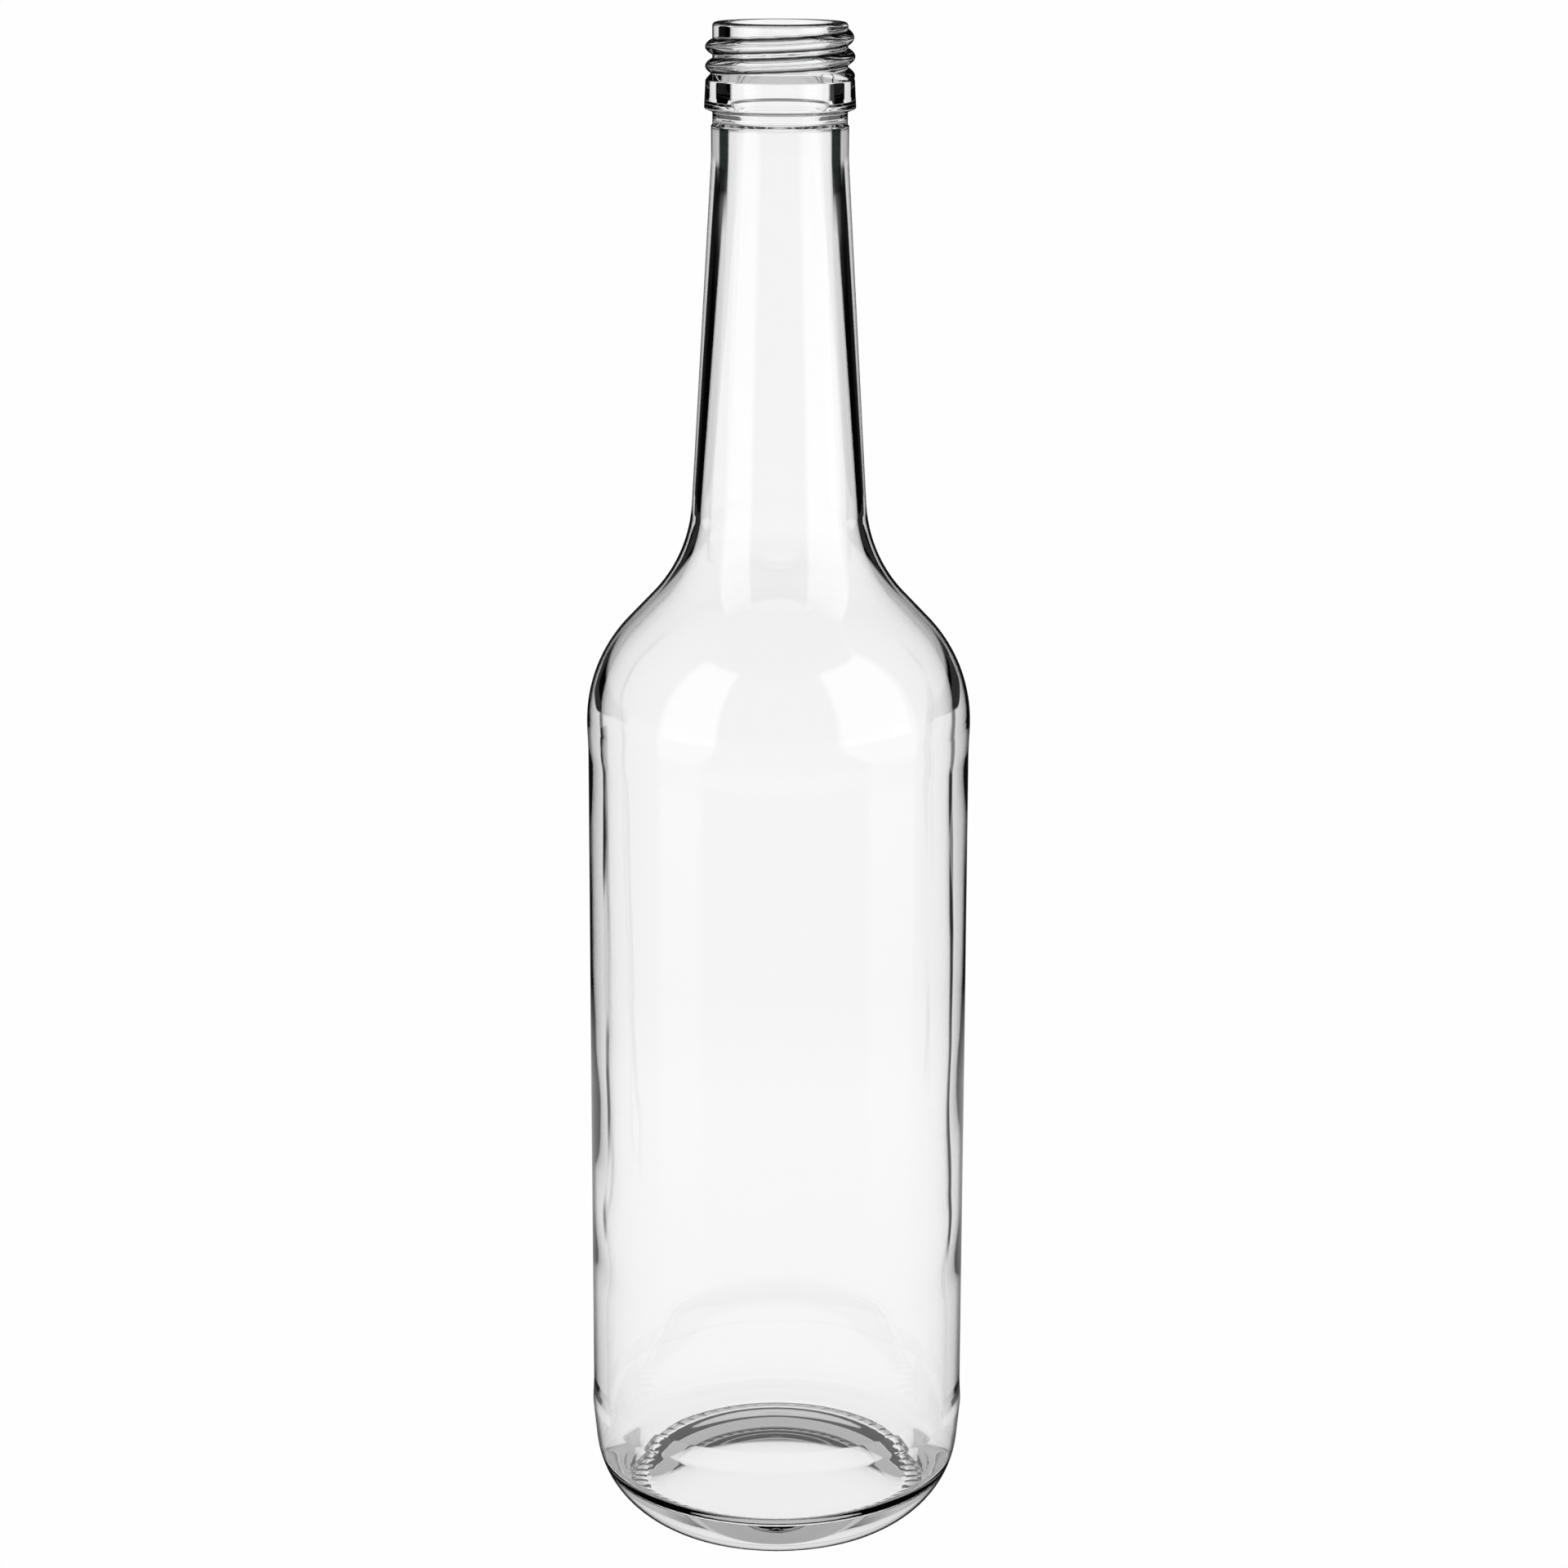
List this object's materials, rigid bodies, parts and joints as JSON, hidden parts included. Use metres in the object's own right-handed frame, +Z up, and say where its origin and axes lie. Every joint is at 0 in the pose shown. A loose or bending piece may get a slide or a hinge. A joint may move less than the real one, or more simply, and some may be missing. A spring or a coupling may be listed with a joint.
{
  "type": "round glass bottle",
  "caption": "Tall round clear glass bottle with a domed shoulder, a long tapering neck and a screw thread above a plain bead.",
  "frame": {"origin": "middle of the base, level with the ring that the bottle stands on", "axes": "+Z up along the bottle's axis; -Y towards the viewer of the picture, +X to their right"},
  "size_m": [0.075, 0.075, 0.296],
  "materials": {
    "clear_glass": "clear, fire-polished"
  },
  "bodies": {
    "root": {"bottle": "clear_glass"}
  },
  "joints": []
}
